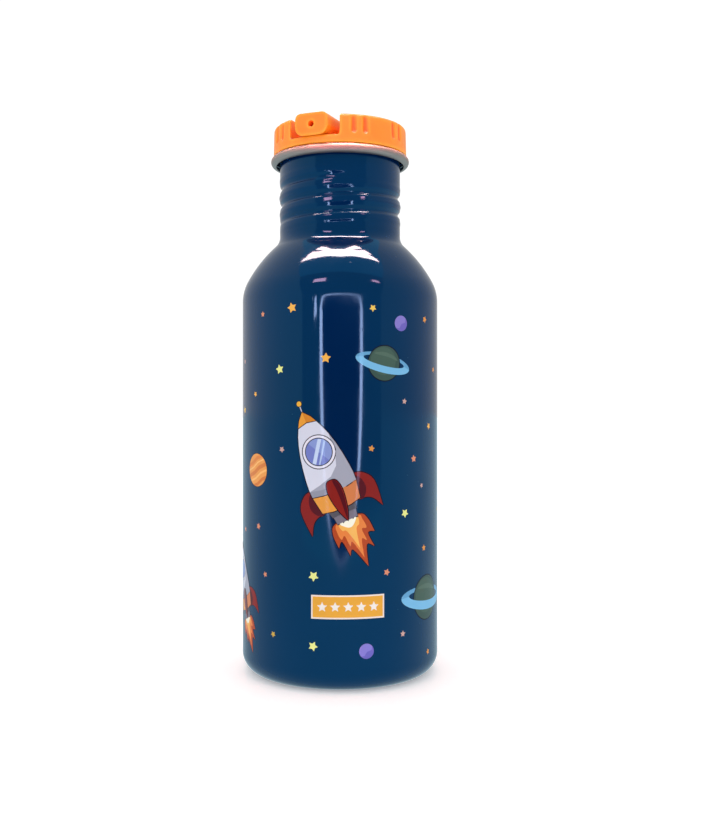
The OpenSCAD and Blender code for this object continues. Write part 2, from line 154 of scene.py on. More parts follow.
def neck_wave(angle, z):
    """How far the rolled thread moves the neck's wall in or out, in mm."""
    first_turn = thread_end - 360 * (thread_top - thread_low) / thread_pitch
    moved = 0
    for k in range(-4, 2):
        turn = angle + 360 * k
        near = ease((turn - first_turn) / thread_fade) * ease((thread_end - turn) / thread_fade)
        rise = z - thread_top - thread_pitch * (turn - thread_end) / 360
        half = thread_pitch / 2
        moved -= near * thread_depth * bell(rise / (thread_share * thread_pitch))
        moved += near * land_bulge / 2 * (bell((rise - half) / (land_share * thread_pitch))
                                          + bell((rise + half) / (land_share * thread_pitch)))
    return moved


def rolled_rim(r):
    """One side of the sheet in the rim, from the neck over the top and round to the roll's end."""
    return (arc((neck_r - wall + roll_r, roll_z), r, 180, 90, 8)
            + arc((neck_r + roll_r, roll_z), r, 90, roll_end, 20))


bottle = lathe("bottle", shell_side(0) + rolled_rim(roll_r - wall) + rolled_rim(roll_r)[::-1]
               + shell_side(wall)[::-1])
for corner in bottle.data.vertices:
    x, y, z = corner.co / mm
    if neck_foot < z < roll_z - 1.05:
        r = math.hypot(x, y)
        grown = (r + neck_wave(math.degrees(math.atan2(y, x)), z)) / r
        corner.co.x *= grown
        corner.co.y *= grown


def shader(name):
    """A new material with the Principled shader, its node tree and that shader's node."""
    made = bpy.data.materials.new(name)
    made.use_nodes = True
    return made, made.node_tree, made.node_tree.nodes["Principled BSDF"]


def linear(red, green, blue):
    """A colour as it looks on a screen, 0 to 255, turned into the shader's linear colour."""
    shares = [c / 255 for c in (red, green, blue)]
    return [((c + 0.055) / 1.055) ** 2.4 if c > 0.0393 else c / 12.92 for c in shares] + [1]


def new_group(name, inputs, outputs):
    """An empty shader group with named sockets: (name, kind, value) in and (name, kind) out."""
    group = bpy.data.node_groups.new(name, "ShaderNodeTree")
    for label, kind, value in inputs:
        socket = group.interface.new_socket(name=label, in_out="INPUT", socket_type="NodeSocket" + kind)
        socket.default_value = value
    for label, kind in outputs:
        group.interface.new_socket(name=label, in_out="OUTPUT", socket_type="NodeSocket" + kind)
    return group, group.nodes.new("NodeGroupInput"), group.nodes.new("NodeGroupOutput")


def add_node(tree, kind, **values):
    """A new node of the kind; each value goes to the input of that name."""
    node = tree.nodes.new("ShaderNode" + kind)
    for label, value in values.items():
        node.inputs[label.replace("_", " ")].default_value = value
    return node


def add_range(tree, value, low, high, to_low, to_high):
    """Maps a value from one range to another, held inside it. Returns the new socket."""
    node = add_node(tree, "MapRange", From_Min=low, From_Max=high, To_Min=to_low, To_Max=to_high)
    tree.links.new(value, node.inputs["Value"])
    return node.outputs["Result"]


def add_math(tree, operation, first, second):
    """Works out an operation on two sockets, or a socket and a number. Returns the new socket."""
    node = tree.nodes.new("ShaderNodeMath")
    node.operation = operation
    for slot, value in zip(node.inputs, (first, second)):
        if isinstance(value, (int, float)):
            slot.default_value = value
        else:
            tree.links.new(value, slot)
    return node.outputs["Value"]


def add_tint(tree, colour, value):
    """A colour made lighter or darker by a value. Returns the new socket."""
    node = tree.nodes.new("ShaderNodeHueSaturation")
    tree.links.new(value, node.inputs["Value"])
    tree.links.new(colour, node.inputs["Color"])
    return node.outputs["Color"]


def use_skin(tree, surface, skin, strength, distance):
    """Links a skin group's colour, roughness and height to the material's own shader."""
    bump = add_node(tree, "Bump", Strength=strength, Distance=distance * mm)
    tree.links.new(skin.outputs["Color"], surface.inputs["Base Color"])
    tree.links.new(skin.outputs["Roughness"], surface.inputs["Roughness"])
    tree.links.new(skin.outputs["Height"], bump.inputs["Height"])
    tree.links.new(bump.outputs["Normal"], surface.inputs["Normal"])


def make_lacquer_group():
    """Sprayed and baked gloss lacquer: a faint ripple, handling smears and a few specks of dust."""
    group, given, put = new_group(
        "lacquer",
        [("Color", "Color", (0, 0, 0, 1)), ("Ripple", "Float", 0.02), ("Gloss", "Float", 0.06)],
        [("Color", "Color"), ("Roughness", "Float"), ("Height", "Float")])
    place = group.nodes.new("ShaderNodeTexCoord").outputs["Object"]
    ripple = add_node(group, "TexNoise", Scale=420, Detail=1)
    smear = add_node(group, "TexNoise", Scale=38, Detail=5, Roughness=0.62, Distortion=0.8)
    cloud = add_node(group, "TexNoise", Scale=14, Detail=2)
    dust = add_node(group, "TexVoronoi", Scale=260)
    for pattern in (ripple, smear, cloud, dust):
        group.links.new(place, pattern.inputs["Vector"])
    chosen = group.nodes.new("ShaderNodeSeparateColor")
    group.links.new(dust.outputs["Color"], chosen.inputs["Color"])
    rare = add_math(group, "GREATER_THAN", chosen.outputs["Red"], 0.86)
    speck = add_range(group, dust.outputs["Distance"], 0.05, 0.09, 0.22, 0)
    grit = add_math(group, "MULTIPLY", speck, rare)
    rough = add_range(group, smear.outputs["Fac"], 0.42, 0.72, 0, 0.07)
    gloss = add_math(group, "ADD", given.outputs["Gloss"], rough)
    tone = add_range(group, cloud.outputs["Fac"], 0.3, 0.7, 0.92, 1.08)
    swell = add_math(group, "MULTIPLY", ripple.outputs["Fac"], given.outputs["Ripple"])
    group.links.new(add_tint(group, given.outputs["Color"], tone), put.inputs["Color"])
    group.links.new(add_math(group, "ADD", gloss, grit), put.inputs["Roughness"])
    group.links.new(swell, put.inputs["Height"])
    return group


lacquer = make_lacquer_group()


def lacquered(name, colour=None, attribute=None):
    """Paint or ink under the bottle's gloss lacquer, in one colour or in an attribute's colours."""
    made, tree, surface = shader(name)
    coat = tree.nodes.new("ShaderNodeGroup")
    coat.node_tree = lacquer
    coat.inputs["Gloss"].default_value = 0.05
    coat.inputs["Ripple"].default_value = 0.6
    if attribute:
        inks = tree.nodes.new("ShaderNodeAttribute")
        inks.attribute_name = attribute
        tree.links.new(inks.outputs["Color"], coat.inputs["Color"])
    else:
        coat.inputs["Color"].default_value = colour
    use_skin(tree, surface, coat, strength=0.1, distance=0.02)
    surface.inputs["IOR"].default_value = 1.58
    surface.inputs["Specular Tint"].default_value = (0.15, 0.72, 1, 1)
    return made


navy = lacquered("navy_paint", linear(1, 32, 74))


def make_grain_group():
    """Fine scratches that run round the Z axis, as turning and rolling leave in steel."""
    group, given, put = new_group(
        "round_grain",
        [("Color", "Color", (0.6, 0.6, 0.6, 1)), ("Roughness", "Float", 0.3),
         ("Lines per mm", "Float", 6.0)],
        [("Color", "Color"), ("Roughness", "Float"), ("Height", "Float")])
    place = group.nodes.new("ShaderNodeTexCoord").outputs["Object"]
    split = group.nodes.new("ShaderNodeSeparateXYZ")
    group.links.new(place, split.inputs["Vector"])
    flat = group.nodes.new("ShaderNodeCombineXYZ")
    group.links.new(split.outputs["X"], flat.inputs["X"])
    group.links.new(split.outputs["Y"], flat.inputs["Y"])
    radius = group.nodes.new("ShaderNodeVectorMath")
    radius.operation = "LENGTH"
    group.links.new(flat.outputs["Vector"], radius.inputs[0])
    dense = add_math(group, "MULTIPLY", given.outputs["Lines per mm"], 1000)
    angle = add_math(group, "ARCTAN2", split.outputs["Y"], split.outputs["X"])
    turned = group.nodes.new("ShaderNodeCombineXYZ")
    group.links.new(add_math(group, "MULTIPLY", radius.outputs["Value"], dense), turned.inputs["X"])
    group.links.new(add_math(group, "MULTIPLY", split.outputs["Z"], dense), turned.inputs["Y"])
    group.links.new(add_math(group, "MULTIPLY", angle, 3), turned.inputs["Z"])
    lines = add_node(group, "TexNoise", Scale=1, Detail=3)
    group.links.new(turned.outputs["Vector"], lines.inputs["Vector"])
    stain = add_node(group, "TexNoise", Scale=55, Detail=4)
    group.links.new(place, stain.inputs["Vector"])
    spread = add_range(group, stain.outputs["Fac"], 0.3, 0.7, -0.07, 0.09)
    tone = add_range(group, lines.outputs["Fac"], 0.3, 0.7, 0.88, 1.06)
    group.links.new(add_tint(group, given.outputs["Color"], tone), put.inputs["Color"])
    group.links.new(add_math(group, "ADD", given.outputs["Roughness"], spread), put.inputs["Roughness"])
    group.links.new(lines.outputs["Fac"], put.inputs["Height"])
    return group


round_grain = make_grain_group()
steel, tree, surface = shader("bare_steel")
grain = tree.nodes.new("ShaderNodeGroup")
grain.node_tree = round_grain
grain.inputs["Color"].default_value = linear(176, 167, 160)
grain.inputs["Roughness"].default_value = 0.5
use_skin(tree, surface, grain, strength=0.25, distance=0.01)
surface.inputs["Metallic"].default_value = 1

bottle.data.materials.append(navy)
bottle.data.materials.append(steel)
for face in bottle.data.polygons:
    outward = face.normal.x * face.center.x + face.normal.y * face.center.y > 0
    r = math.hypot(face.center.x, face.center.y) / mm
    z = face.center.z / mm
    # The inside of the rim's curl, where it faces the roll's middle, gets the navy paint: painted shade for
    # the dark gap under the rim.
    from_middle = Vector((r - neck_r - roll_r, z - roll_z))
    in_roll = from_middle.length < roll_r + 0.1 and r > neck_r + 0.3
    normal_r = math.hypot(face.normal.x, face.normal.y) * (1 if outward else -1)
    faces_middle = from_middle.dot((normal_r, face.normal.z)) < 0
    painted = faces_middle if in_roll else outward and z < paint_edge
    face.material_index = 0 if painted else 1
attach(bottle, "bottle")
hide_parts("bottle_shell")


# ---- Base cup ----
# The pressed steel bottom of the bottle, welded to the wall and ground flush before painting:
# a rounded corner, a narrow foot ring and a shallow dish that keeps the middle off the table.

corner_r = 7
foot_r = body_r - corner_r
foot_inner = foot_r - 2.5
dish_h = 2.4
dish_turn = 60
dish_r = dish_h / (2 * (1 - math.cos(math.radians(dish_turn))))
dish_flat = foot_inner - 2 * dish_r * math.sin(math.radians(dish_turn))


def base_side(inset):
    """One side of the pressed base, from the weld down round the corner and in to the axis."""
    return ([(body_r - inset, weld_z), (body_r - inset, weld_z - 0.5)]
            + arc((foot_r, corner_r), corner_r - inset, 0, -90, 20)
            + arc((foot_inner, dish_r), dish_r - inset, -90, -90 - dish_turn, 10)
            + arc((dish_flat, dish_h - dish_r), dish_r + inset, 90 - dish_turn, 90, 10)
            + [(12, dish_h + inset), (0, dish_h + inset)])


base = lathe("base", base_side(0) + base_side(wall)[::-1])
base.data.materials.append(navy)
base.data.materials.append(steel)
corner_middle = Vector((foot_r * mm, corner_r * mm))
for face in base.data.polygons:
    place = Vector((math.hypot(face.center.x, face.center.y), face.center.z))
    inside_corner = (place - corner_middle).length < (corner_r - wall / 2) * mm
    low = place.y < (dish_h + wall / 2) * mm
    painted = face.normal.z < 0.01 and low if place.x < foot_r * mm else not inside_corner
    face.material_index = 0 if painted else 1
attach(base, "bottle")
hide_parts("base_cup")


# ---- Print ----
# The space scene on the body: flat patches of ink, printed one on another straight on the navy
# paint and sealed under the same lacquer. The pictures repeat half way round the bottle.

print_r = body_r
ink_step = 0.01
strip_w = 1.0
outline_w = 0.3
line_ink = (26, 18, 30)
print_repeat = math.pi * print_r
printing_ink = lacquered("printing_ink", attribute="ink")
ink_shader = printing_ink.node_tree.nodes["Principled BSDF"]
ink_shader.inputs["Specular IOR Level"].default_value = 0.12


def patch(points, colour, layer, edge=0):
    """A flat patch of ink: points (mm round the body, mm up), with a dark line round it if asked."""
    if edge:
        patch(swollen(points, edge), line_ink, layer - 0.5)
    if signed_area(points) < 0:
        points = points[::-1]
    bpy.ops.mesh.primitive_circle_add(vertices=len(points), radius=1, fill_type="NGON")
    piece = bpy.context.object
    for corner, (u, v) in zip(piece.data.vertices, points):
        corner.co = (u * mm, v * mm, layer * ink_step * mm)
    inks = piece.data.attributes.new("ink", "FLOAT_COLOR", "FACE")
    inks.data[0].color = linear(*colour)
    piece.select_set(False)
    fresh.append(piece)


def signed_area(points):
    """Twice the outline's area, positive where it runs anticlockwise."""
    return sum(a[0] * b[1] - b[0] * a[1] for a, b in zip(points, points[1:] + points[:1]))


def swollen(points, width):
    """The same outline, moved out by a line's width."""
    side = width if signed_area(points) > 0 else -width
    moved = []
    for before, here, after in zip(points[-1:] + points[:-1], points, points[1:] + points[:1]):
        along = Vector((after[0] - before[0], after[1] - before[1])).normalized()
        moved.append((here[0] + along.y * side, here[1] - along.x * side))
    return moved


def flowing(points, steps=4):
    """A smooth closed curve through the points. A point given twice stays a sharp corner."""
    n = len(points)
    curve = []
    for i in range(n):
        a, b, c, d = (Vector(points[(i + k) % n]) for k in (-1, 0, 1, 2))
        if (b - c).length < 1e-6:
            continue
        for k in range(steps):
            t = k / steps
            curve.append(tuple(0.5 * (2 * b + (c - a) * t + (2 * a - 5 * b + 4 * c - d) * t ** 2
                                      + (3 * b - a - 3 * c + d) * t ** 3)))
    return curve


def disc(u, v, r, start=0, end=360, steps=40):
    """The outline of a disc, or the curved part of one between two angles."""
    points = arc((u, v), r, start, end, steps)
    return points[:-1] if end - start == 360 else points


def set_out(points, u, v, turn=0, size=1):
    """A drawing moved to its place on the body, turned left by an angle and scaled."""
    c = math.cos(math.radians(turn)) * size
    s = math.sin(math.radians(turn)) * size
    return [(u + x * c - y * s, v + x * s + y * c) for x, y in points]


def wrap(name):
    """Joins the fresh patches, cuts them in narrow upright strips and bends them round the body."""
    for piece in fresh:
        piece.select_set(True)
    bpy.context.view_layer.objects.active = fresh[0]
    bpy.ops.object.join()
    piece = bpy.context.object
    piece.name = name
    fresh.clear()
    places = [corner.co.x / mm for corner in piece.data.vertices]
    bpy.ops.object.mode_set(mode="EDIT")
    for i in range(math.floor(min(places) / strip_w), math.ceil(max(places) / strip_w)):
        bpy.ops.mesh.select_all(action="SELECT")
        bpy.ops.mesh.bisect(plane_co=(i * strip_w * mm, 0, 0), plane_no=(1, 0, 0))
    bpy.ops.mesh.select_all(action="SELECT")
    bpy.ops.mesh.quads_convert_to_tris()
    bpy.ops.object.mode_set(mode="OBJECT")
    normals = []
    for corner in piece.data.vertices:
        u, v, lift = corner.co / mm
        angle = u / print_r
        out = Vector((math.sin(angle), -math.cos(angle), 0))
        corner.co = (out * (print_r + ink_step + lift) + Vector((0, 0, v))) * mm
        normals.append(out)
    bpy.ops.object.shade_smooth()
    piece.data.normals_split_custom_set_from_vertices(normals)
    piece.data.materials.clear()
    piece.data.materials.append(printing_ink)
    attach(piece, "bottle")
    piece.select_set(False)
    return piece


fresh = []
pink = (196, 158, 152)
coral = (212, 138, 108)
ginger = (214, 142, 70)
amber = (232, 172, 80)
lemon = (228, 188, 88)
lime = (222, 226, 140)
olive = (196, 160, 72)
star_places = [
    (-29.5, 125.5, 1.8, coral), (-16.5, 127, 3.1, amber), (11, 126.7, 2.2, lemon), (34, 124, 2.2, ginger),
    (-4.7, 110.2, 3.1, amber), (-21.4, 106.7, 2.9, lime), (-34, 98.5, 1.8, amber), (41.5, 107, 1.9, ginger),
    (23.2, 96, 1.8, pink), (-44.2, 93, 2.4, lemon), (37, 87.5, 2.2, amber), (-20.5, 80, 1.9, pink),
    (10.5, 80.5, 2, ginger), (27.6, 76.7, 2.3, coral), (32, 67.4, 1.6, pink), (23.4, 58.6, 2.7, lime),
    (-32, 53.5, 2.1, coral), (33.5, 46, 2.1, ginger), (-28.2, 37.6, 1.8, coral), (-8.8, 38.6, 3.1, lime),
    (16, 39.5, 2.1, coral), (22.5, 18.4, 1.9, pink), (36.4, 10, 1.9, ginger), (-24.3, 18, 1.9, olive),
    (-9, 15.6, 2.9, lime), (-44, 110, 1.8, pink), (-43, 51.4, 1.8, coral), (48, 58, 1.8, lemon),
]


def star_outline(r, waist):
    """A plump five-pointed star; the waist is its inner radius as a share of the outer one."""
    reach = [r, waist * r] * 5
    turns = [math.radians(36 * k) for k in range(10)]
    return flowing([(far * math.sin(a), far * math.cos(a)) for far, a in zip(reach, turns)], 3)


for i, (u, v, width, colour) in enumerate(star_places):
    star = star_outline(0.56 * width, 0.56)
    for shift in (0, print_repeat):
        patch(set_out(star, u + shift, v, 17 * i % 72), colour, 1)
wrap("print_stars")


def ringed_planet(u, v, size, tilt):
    """A grey-green planet in a pale blue ring."""
    ring = (116, 178, 218)
    far_ring = (98, 156, 198)
    turns = [math.radians(a) for a in range(0, 361, 9)]
    outer = [(10.3 * math.cos(a), 3.2 * math.sin(a)) for a in turns]
    inner = [(7.7 * math.cos(a), 1.5 * math.sin(a) + 0.6) for a in turns]
    patch(set_out(outer[:21] + inner[20::-1], u, v, tilt, size), far_ring, 1)
    patch(set_out(disc(0, 0, 5.75), u, v, tilt, size), (62, 82, 76), 2, outline_w)
    patch(set_out(disc(-0.5, 0.6, 4.6), u, v, tilt, size), (70, 92, 82), 2.5)
    patch(set_out(flowing([(-4.4, 2.4), (-1, 3.6), (3, 3.1), (4.6, 1.8), (1, 2.3)]), u, v, tilt, size),
          (82, 104, 92), 3)
    patch(set_out(outer[20:] + inner[:19:-1], u, v, tilt, size), ring, 3.5)


def round_planet(u, v, r, light, dark, turn):
    """A small two-coloured planet."""
    patch(set_out(disc(0, 0, r), u, v), light, 1)
    shade = disc(0, 0, r, -90, 90, 20) + [(0.35 * r, 0.6 * r), (0.1 * r, 0), (0.3 * r, -0.6 * r)]
    patch(set_out(shade, u, v, turn), dark, 2)


def striped_planet(u, v, r, turn):
    """An orange planet with cloud bands."""
    patch(set_out(disc(0, 0, r), u, v), (224, 152, 82), 1, 0.18)
    for low, high, colour in ((-0.86, -0.66, (203, 118, 62)), (-0.42, -0.3, (238, 180, 108)),
                              (-0.12, 0.12, (205, 122, 66)), (0.3, 0.38, (240, 186, 116)),
                              (0.5, 0.72, (212, 130, 70))):
        a = math.degrees(math.asin(low))
        b = math.degrees(math.asin(high))
        band = (disc(0, 0, r * 0.985, a, b, 4)
                + [(0.3 * r, (high + 0.05) * r), (-0.3 * r, (high - 0.05) * r)]
                + disc(0, 0, r * 0.985, 180 - b, 180 - a, 4)
                + [(-0.3 * r, (low - 0.05) * r), (0.3 * r, (low + 0.05) * r)])
        patch(set_out(band, u, v, turn), colour, 2)


for shift in (0, print_repeat):
    ringed_planet(15.2 + shift, 108.6, 1, -12)
    ringed_planet(35.2 + shift, 29, 1.3, -4)
    round_planet(21.7 + shift, 122, 2.6, (128, 116, 190), (106, 96, 176), -50)
    round_planet(8.8 + shift, 14, 2.5, (128, 120, 200), (104, 98, 182), -50)
    striped_planet(-33 + shift, 72.6, 5.6, 24)
wrap("print_planets")


def rocket(u, v, size, turn):
    """A toy-like rocket with a round window, three fins and a flame."""
    def lay(points, colour, layer, edge=0):
        patch(set_out(points, u, v, turn, size), colour, layer, edge * size)

    def both_sides(right):
        return right + [(-x, y) for x, y in right[::-1]]

    flame_red = (172, 72, 38)
    flame_orange = (222, 128, 66)
    flame_gold = (236, 178, 92)
    flame_white = (240, 238, 220)
    fin_red = (132, 36, 32)
    fin_dark = (84, 24, 32)
    lay(flowing([(-4.2, -10.4), (-6.3, -13.2), (-6.3, -18.2), (-6.3, -18.2), (-4.5, -16.6),
                 (-3.8, -22), (-3.8, -22), (-2.2, -20.4), (0.3, -27.6), (0.3, -27.6), (2.6, -20.8),
                 (4.8, -22.4), (4.8, -22.4), (4.5, -17.4), (6.8, -17.8), (6.8, -17.8), (6.3, -13),
                 (4.2, -10.4)]), flame_red, 1, outline_w)
    lay(flowing([(-3.7, -10.6), (-4.8, -13.4), (-4.4, -16), (-3, -15.2), (-2.6, -19), (-1.4, -18),
                 (0.2, -24.4), (0.2, -24.4), (1.8, -18.4), (3.2, -19.4), (3.1, -15.4), (4.8, -15.6),
                 (4.6, -12.6), (3.7, -10.6)]), flame_orange, 1.5)
    lay(flowing([(-3, -10.8), (-3, -13.4), (-1.6, -14.2), (0.1, -21), (0.1, -21), (1.5, -14.6), (3, -13.4),
                 (3, -10.8)]), flame_gold, 2)
    lay(flowing([(-2.7, -10.8), (-1.6, -12.6), (0, -13.4), (1.6, -12.6), (2.7, -10.8)]), flame_white, 2.5)
    for side in (-1, 1):
        lay(flowing([(side * 7, 2.6), (side * 7, 2.6), (side * 10.4, 1.8), (side * 13.4, -2.4),
                     (side * 12.9, -11.4), (side * 12.9, -11.4), (side * 11, -8), (side * 8.8, -6.4),
                     (side * 6.2, -6.2), (side * 6.2, -6.2)]), fin_red, 1.5, outline_w)
        lay(flowing([(side * 7.4, 1.4), (side * 9.4, 0), (side * 9.9, -3.4), (side * 8.2, -6),
                     (side * 6.6, -5.8)]), fin_dark, 2)
    lay(both_sides([(0, -10.6), (3.6, -10.9), (3.9, -8.4), (0, -8)])[1:-1], (118, 112, 126), 3, outline_w)
    lay([(-4.9, -5.8), (4.9, -5.8), (4.2, -8.4), (-4.2, -8.4)], (86, 84, 94), 3, outline_w)
    lay([(-7.8, 0.3), (-3.9, -0.4), (0, -0.6), (3.9, -0.4), (7.8, 0.3), (6.7, -5.7), (3.3, -6.4), (0, -6.6),
         (-3.3, -6.4), (-6.7, -5.7)], (222, 150, 66), 4, outline_w)
    lay([(0, -0.6), (3.9, -0.4), (7.8, 0.3), (6.7, -5.7), (3.3, -6.4), (0, -6.6)], (204, 124, 78), 4.5)
    hull = [(3.2, 23.3), (4.5, 20.6), (5.5, 17.8), (6.5, 14), (7.2, 10), (7.7, 6), (7.9, 3), (7.8, 0.3)]
    bottom = [(3.9, -0.4), (0, -0.6), (-3.9, -0.4)]
    lay(hull + bottom + [(-x, y) for x, y in hull[::-1]] + [(0, 23.9)], (206, 208, 224), 5, outline_w)
    lay(hull[2:] + bottom + [(-7.8, 0.3), (-7.8, 2.4), (-3.6, 3.2), (0.6, 4.4), (3.6, 7), (5.1, 11)],
        (158, 160, 176), 5.5)
    lay([(-7.8, 0.3), (-3.9, -0.4), (0, -0.6), (0, 1.4), (-4, 1.5), (-7.85, 2.4)], (142, 144, 160), 6)
    lay([(-3.3, 23.2), (-2.2, 25.2), (0, 27.6), (2.2, 25.2), (3.3, 23.2), (0, 23.9)], (226, 152, 56),
        6, outline_w)
    lay([(0, 23.9), (0, 27.6), (2.2, 25.2), (3.3, 23.2)], (206, 128, 44), 6.5)
    lay([(-0.16, 27.6), (0.16, 27.6), (0.2, 29.8), (-0.12, 29.8)], (200, 196, 210), 5)
    lay(disc(0.1, 30.5, 0.85), (232, 172, 62), 6, 0.15)
    lay(disc(0.1, 13.4, 5.45), (222, 220, 234), 6, outline_w)
    lay(disc(0.1, 13.4, 4.4), (132, 148, 204), 7, 0.28)
    lay(disc(0.1, 13.4, 4.3, 120, 300, 24), (112, 122, 190), 7.5)
    lay([(-3.3, 10.7), (-2.3, 9.9), (2.6, 16.9), (1.5, 17.4)], (190, 206, 236), 8)
    lay([(-1.5, 9.5), (-1.0, 9.3), (3.6, 15.8), (3.2, 16.4)], (170, 190, 228), 8)
    lay(flowing([(0, 3.3), (1.6, 2.8), (2.4, 0.4), (2.3, -3), (1.4, -7.6), (0.1, -11), (0.1, -11),
                 (-1.3, -7.6), (-2.3, -3), (-2.4, 0.4), (-1.6, 2.8)]), fin_red, 7, outline_w)
    lay(flowing([(0.4, 3), (1.6, 2.6), (2.2, 0.4), (2.1, -3), (1.3, -7.2), (0.1, -10.4), (0.5, -4),
                 (0.6, 0)]), fin_dark, 7.5)


for shift in (0, print_repeat):
    rocket(-1.8 + shift, 67.1, 1, 23.5)
    rocket(-43.5 + shift, 28, 0.72, 22)
wrap("print_rockets")

plate_w = 24.6
plate_h = 7.8
plate_border = 0.5
plate_u = 2.7
plate_v = 28.6
plate_star_r = 1.7
plate_star_gap = 4.3


def board(w, h):
    """A rectangle about its middle, with a point half way along its long sides."""
    return [(-w / 2, -h / 2), (0, -h / 2), (w / 2, -h / 2), (w / 2, h / 2), (0, h / 2), (-w / 2, h / 2)]


plate_field = board(plate_w - 2 * plate_border, plate_h - 2 * plate_border)
plate_star = star_outline(plate_star_r, 0.5)
patch(set_out(board(plate_w, plate_h), plate_u, plate_v), (228, 216, 208), 1)
patch(set_out(plate_field, plate_u, plate_v), (219, 160, 60), 2)
for k in range(-2, 3):
    patch(set_out(plate_star, plate_u + plate_star_gap * k, plate_v), (228, 222, 216), 3)
wrap("print_plate")


# ---- Rim gasket ----
# A flat ring of white silicone with rounded edges, stretched over the plug under its disc. It is
# squeezed between the disc and the rolled rim when the cap is screwed down.

gasket_low, gasket_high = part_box("rim_gasket")
gasket_out = gasket_high[0] / mm
gasket_in = gasket_out - 2.1
gasket_bottom = gasket_low[2] / mm
gasket_top = gasket_high[2] / mm
gasket_edge = 0.35
gasket = lathe("gasket", [
    *arc((gasket_out - gasket_edge, gasket_bottom + gasket_edge), gasket_edge, -90, 0, 5),
    *arc((gasket_out - gasket_edge, gasket_top - gasket_edge), gasket_edge, 0, 90, 5),
    *arc((gasket_in + gasket_edge, gasket_top - gasket_edge), gasket_edge, 90, 180, 5),
    *arc((gasket_in + gasket_edge, gasket_bottom + gasket_edge), gasket_edge, 180, 270, 5),
])


def make_moulded_group():
    """The skin of a moulding: spark-eroded grain, faint flow clouds and fine handling marks."""
    group, given, put = new_group(
        "moulded_skin",
        [("Color", "Color", (0.5, 0.5, 0.5, 1)), ("Roughness", "Float", 0.4), ("Grain", "Float", 1.0)],
        [("Color", "Color"), ("Roughness", "Float"), ("Height", "Float")])
    place = group.nodes.new("ShaderNodeTexCoord").outputs["Object"]
    grain = add_node(group, "TexNoise", Scale=2600, Detail=3)
    cloud = add_node(group, "TexNoise", Scale=70, Detail=3, Distortion=0.6)
    stretch = add_node(group, "Mapping", Scale=(260, 1900, 520), Rotation=(0.4, 0.3, 0.5))
    marks = add_node(group, "TexNoise", Scale=1, Detail=2)
    for pattern in (grain, cloud, stretch):
        group.links.new(place, pattern.inputs["Vector"])
    group.links.new(stretch.outputs["Vector"], marks.inputs["Vector"])
    tone = add_range(group, cloud.outputs["Fac"], 0.3, 0.7, 0.95, 1.05)
    scuff = add_range(group, marks.outputs["Fac"], 0.6, 0.75, 0, 0.16)
    haze = add_range(group, cloud.outputs["Fac"], 0.35, 0.65, -0.03, 0.05)
    worn = add_math(group, "ADD", given.outputs["Roughness"], scuff)
    depth = add_math(group, "MULTIPLY", grain.outputs["Fac"], given.outputs["Grain"])
    group.links.new(add_tint(group, given.outputs["Color"], tone), put.inputs["Color"])
    group.links.new(add_math(group, "ADD", worn, haze), put.inputs["Roughness"])
    group.links.new(depth, put.inputs["Height"])
    return group


moulded_skin = make_moulded_group()


def add_ramp(tree, value, *stops):
    """A colour ramp on a value, with its two (position, colour) ends."""
    ramp = tree.nodes.new("ShaderNodeValToRGB")
    for end, (position, colour) in zip(ramp.color_ramp.elements, stops):
        end.position = position
        end.color = colour
    tree.links.new(value, ramp.inputs["Fac"])
    return ramp


def moulding(name, colour, roughness, grain, glow_depth, glow_colour, relief=None):
    """A moulded plastic or rubber. With relief, its colour is painted darker in its hollows (painted shade)
    and lighter on its edges (painted highlight), and the hollows glow faintly (painted light).
    """
    made, tree, surface = shader(name)
    skin = tree.nodes.new("ShaderNodeGroup")
    skin.node_tree = moulded_skin
    skin.inputs["Color"].default_value = colour
    skin.inputs["Roughness"].default_value = roughness
    skin.inputs["Grain"].default_value = grain
    if relief:
        bend = tree.nodes.new("ShaderNodeAttribute")
        bend.attribute_name = "relief"
        # Painted shade and highlight: the first relief colour goes in the hollows, the second on the edges.
        shade_and_highlight_ramp = add_ramp(tree, bend.outputs["Fac"], (0.12, relief[0]), (0.85, relief[1]))
        shade_and_highlight_ramp.color_ramp.elements.new(0.5).color = colour
        tree.links.new(shade_and_highlight_ramp.outputs["Color"], skin.inputs["Color"])
        # Painted light: the hollows glow faintly in the first relief colour, so they never go dark.
        painted_glow_ramp = add_ramp(tree, bend.outputs["Fac"], (0, relief[0]), (0.15, (0, 0, 0, 1)))
        tree.links.new(painted_glow_ramp.outputs["Color"], surface.inputs["Emission Color"])
        surface.inputs["Emission Strength"].default_value = 0.4
    use_skin(tree, surface, skin, strength=0.35, distance=0.02)
    surface.inputs["Subsurface Weight"].default_value = 0.35
    surface.inputs["Subsurface Radius"].default_value = glow_colour
    surface.inputs["Subsurface Scale"].default_value = glow_depth * mm
    return made


silicone = moulding("white_silicone", linear(238, 236, 230), roughness=0.55, grain=1.2,
                    glow_depth=1.5, glow_colour=(1, 0.9, 0.8))
gasket.data.materials.append(silicone)
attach(gasket, "gasket")
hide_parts("rim_gasket")


# ---- Cap shell ----
# The screw cap, injection moulded in satin orange polypropylene: a drafted grip wall with pairs of
# grooves, a flat deck, a finger notch in front and the trough that the folded spout lies in.

cap_low, cap_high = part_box("cap_shell")
cap_r = cap_high[0] / mm
cap_bottom = cap_low[2] / mm
cap_top = cap_high[2] / mm
floor_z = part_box("screw_plug")[1][2] / mm
cap_turned = -23.5
skirt_r = cap_r - 1.9
deck_t = 1.6
top_edge_r = 1.2
draft = 0.2
notch_half = 9.2
trough_half = 6.25
cheek_half = 8.75
trough_wall = 1.6
trough_front = 0.9
trough_back = 14.15
inner_r = cap_r - 0.9
inner_low = floor_z + 0.08
inner_top = cap_top - 0.8
groove_r = 1.156
groove_depth = 0.8
groove_foot = floor_z + 0.4
groove_pairs = 8
pair_step = 40
pair_half = 5
hub_r = 4.2
hub_y = 9.7
hub_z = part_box("spout")[1][2] / mm - hub_r
axle_r = 2
bearing_r = axle_r + 0.08
bearing_half = trough_half + 2.3
over = cap_top + 2


